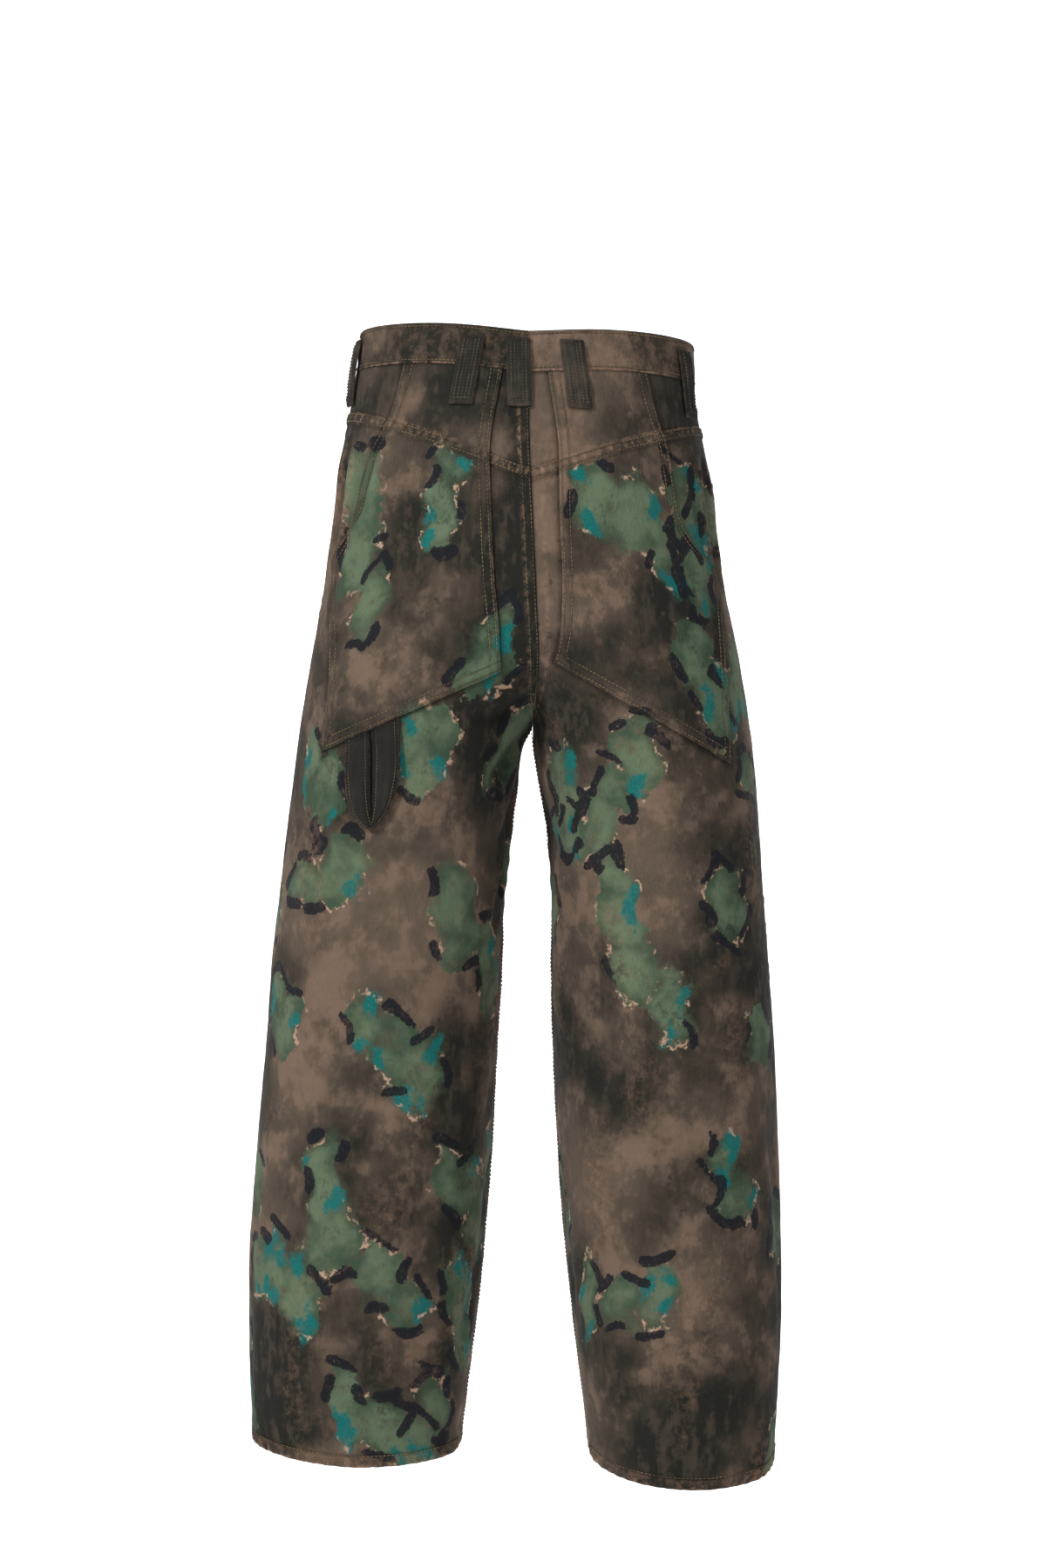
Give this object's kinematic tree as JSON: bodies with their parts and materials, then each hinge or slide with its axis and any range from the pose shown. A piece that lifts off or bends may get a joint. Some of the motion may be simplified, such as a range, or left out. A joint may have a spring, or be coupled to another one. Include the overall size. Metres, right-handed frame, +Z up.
{
  "type": "baggy jeans",
  "caption": "Baggy barrel-leg jeans in the hollow form of wear: waistband with belt loops, back yoke, wide legs, large slanted back pockets, a hammer loop, a fly and a tack button.",
  "frame": {"origin": "the middle of the waist, half way up the waistband, where the wearer holds the garment", "axes": "+Z up along the garment, the front faces -Y, the wearer's left is at +X"},
  "size_m": [0.4863, 0.2529, 1.0448],
  "materials": {
    "mottled_denim": "worn brown denim twill with a green, teal and black camouflage print, matt",
    "dark_denim": "charcoal denim twill, matt",
    "aged_metal": "aged and darkened, satin"
  },
  "bodies": {
    "root": {"waistband": "mottled_denim", "back_yoke_left": "mottled_denim", "back_yoke_right": "mottled_denim", "back_panel_left": "mottled_denim", "back_panel_right": "mottled_denim", "front_panel_left": "mottled_denim", "front_panel_right": "mottled_denim", "front_facing_left": "mottled_denim", "front_facing_right": "mottled_denim", "back_pocket_left": "mottled_denim", "back_pocket_right": "mottled_denim", "belt_loop_back_left": "dark_denim", "belt_loop_back_centre": "dark_denim", "belt_loop_back_right": "dark_denim", "belt_loop_side_left": "dark_denim", "belt_loop_side_right": "dark_denim", "belt_loop_front_left": "dark_denim", "belt_loop_front_right": "dark_denim", "hammer_loop": "dark_denim", "fly_placket": "mottled_denim", "waist_button": "aged_metal"}
  },
  "joints": []
}
